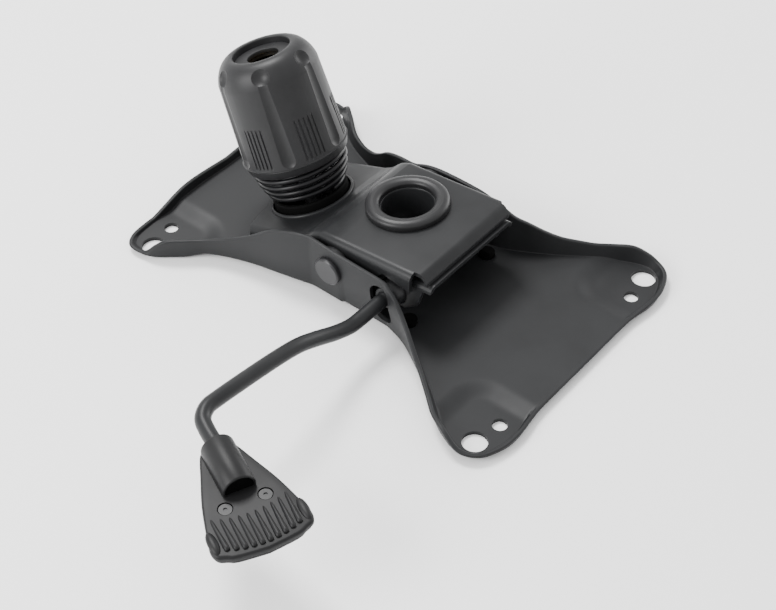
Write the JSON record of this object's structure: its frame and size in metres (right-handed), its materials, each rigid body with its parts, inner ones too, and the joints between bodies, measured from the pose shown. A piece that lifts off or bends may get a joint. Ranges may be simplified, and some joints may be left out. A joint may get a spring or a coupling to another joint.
{
  "type": "office chair tilt mechanism",
  "caption": "Butterfly seat plate with a pivoting housing, tension knob and spring, gas lift cone and side height lever, shown upside down on its seat face.",
  "frame": {"origin": "centre of the four large seat slots, on the seat face", "axes": "+X to the chair's rear, +Y to the side without the lever, +Z away from the seat, which points down in use"},
  "size_m": [0.2646, 0.3249, 0.1113],
  "materials": {
    "plate_steel": "satin black powder coat",
    "housing_steel": "satin black powder coat",
    "tube_steel": "black coat inside the cone",
    "ring_plastic": "smooth moulded black",
    "rivet_steel": "black coated, flat head",
    "nylon": "black glass-filled nylon",
    "zinc": "dark zinc plate",
    "rubber": "black rubber",
    "spring_steel": "oiled black spring steel",
    "knob_plastic": "fine moulded texture",
    "cap_plastic": "moulded black",
    "brass": "turned brass",
    "lever_steel": "satin black powder coat",
    "handle_plastic": "fine moulded texture"
  },
  "bodies": {
    "seat": {"seat_plate": "plate_steel", "pivot_rivet_near": "rivet_steel", "pivot_rivet_far": "rivet_steel", "push_nut_near": "zinc", "push_nut_far": "zinc", "bolt_lugs": "plate_steel", "anchor_pin": "zinc", "front_bumpers": "rubber", "rear_bumpers": "rubber"},
    "housing": {"housing_cover": "housing_steel", "inner_channel": "housing_steel", "cone_tube": "tube_steel", "cone_ring": "ring_plastic", "pivot_bush_near": "nylon", "pivot_bush_far": "nylon", "spring_cup": "rubber", "tension_spring": "spring_steel", "bush_retainer": "nylon"},
    "bolt": {"tension_bolt": "zinc"},
    "carrier": {"spring_washer": "zinc", "thrust_disc": "nylon"},
    "knob": {"knob_shell": "knob_plastic", "knob_cap": "cap_plastic", "knob_nut": "brass"},
    "lever": {"lever_rod": "lever_steel", "ball_bush": "nylon", "rod_collar": "zinc", "handle_upper": "handle_plastic", "handle_lower": "handle_plastic", "handle_screws": "zinc"}
  },
  "joints": [
    {"name": "housing_tilt", "type": "hinge", "parent": "seat", "child": "housing", "pos_m": [-0.008, 0, 0.025], "axis": [0, 1, 0], "range_deg": [0, 10], "stiffness_Nm_per_rad": 20, "springref_deg": -28.65, "deforming": ["tension_spring"]},
    {"name": "bolt_swing", "type": "hinge", "parent": "seat", "child": "bolt", "pos_m": [-0.05931, 0, 0.0105], "axis": [0, 1, 0], "range_deg": [0, 10]},
    {"name": "knob_travel", "type": "slide", "parent": "bolt", "child": "carrier", "axis": [0.3584, 0, -0.9336], "range_m": [0, 0.0045], "deforming": ["tension_spring"]},
    {"name": "knob_turn", "type": "hinge", "parent": "carrier", "child": "knob", "pos_m": [-0.062, 0, 0.0175], "axis": [0.3584, 0, -0.9336], "range_deg": [0, 1080]},
    {"name": "lever_lift", "type": "hinge", "parent": "housing", "child": "lever", "pos_m": [0.0283, -0.03455, 0.024], "axis": [1, 0, 0], "range_deg": [0, 6], "stiffness_Nm_per_rad": 1, "springref_deg": -22.92}
  ],
  "couplings": [
    {"joint": "bolt_swing", "follows": "housing_tilt", "ratio": 1},
    {"joint": "knob_travel", "follows": "knob_turn", "m_per_rad": 0.00023873}
  ]
}
